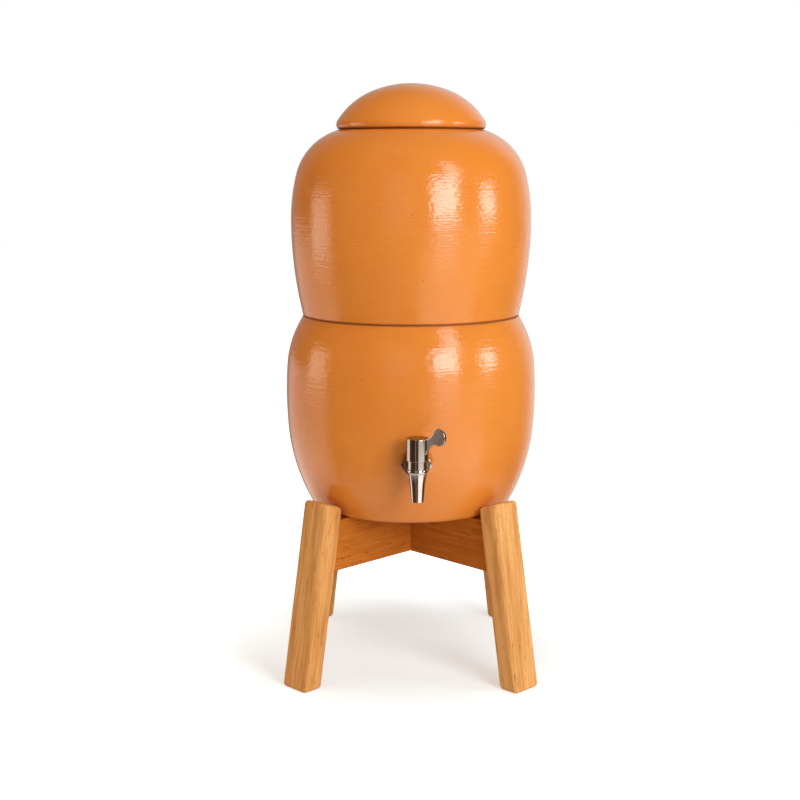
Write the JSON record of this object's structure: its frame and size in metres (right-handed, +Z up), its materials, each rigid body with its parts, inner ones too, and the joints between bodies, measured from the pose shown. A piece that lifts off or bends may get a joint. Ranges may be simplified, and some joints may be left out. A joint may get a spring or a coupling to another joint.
{
  "type": "clay water filter with tap and stand",
  "caption": "Stacked clay pots that filter water through a ceramic candle, with a domed lid and a chrome lever tap, on a splayed wooden stand.",
  "frame": {"origin": "on the floor, under the centre of the bounding box; the pots' and the stand's common upright axis is 22.2 mm behind it, because the tap stands out at the front", "axes": "+Z up, -Y is the front where the tap is, +X is to the right as seen from the front"},
  "size_m": [0.265, 0.3093, 0.6121],
  "materials": {
    "clay": "satin",
    "wood": "satin",
    "candle_ceramic": "matte",
    "white_plastic": "gloss",
    "rubber": "matte",
    "chrome": "polished",
    "brass": "satin"
  },
  "bodies": {
    "stand": {"leg_front_left": "wood", "leg_front_right": "wood", "leg_rear_left": "wood", "leg_rear_right": "wood", "cross_rail_lower": "wood", "cross_rail_upper": "wood", "leg_dowels": "wood"},
    "lower_tank": {"lower_pot": "clay", "tap_body": "chrome", "tap_bonnet": "brass", "tap_outer_washer": "rubber", "tap_inner_washer": "rubber", "tap_lock_nut": "chrome"},
    "lever": {"tap_lever": "chrome", "tap_plug": "brass", "tap_seals": "rubber"},
    "upper_tank": {"upper_pot": "clay", "candle_dome": "candle_ceramic", "candle_cup": "white_plastic", "candle_gasket": "rubber", "candle_slip_washer": "white_plastic", "candle_wing_nut": "white_plastic"},
    "cover": {"lid": "clay"}
  },
  "joints": [
    {"name": "lower_pot_lift", "type": "slide", "parent": "stand", "child": "lower_tank", "axis": [0, 0, 1], "range_m": [0, 0.05]},
    {"name": "upper_pot_lift", "type": "slide", "parent": "lower_tank", "child": "upper_tank", "axis": [0, 0, 1], "range_m": [0, 0.06]},
    {"name": "lid_lift", "type": "slide", "parent": "upper_tank", "child": "cover", "axis": [0, 0, 1], "range_m": [0, 0.05]},
    {"name": "tap_turn", "type": "hinge", "parent": "lower_tank", "child": "lever", "pos_m": [0.00663, -0.12957, 0.2384], "axis": [0, 0, 1], "range_deg": [-90, 0]}
  ]
}
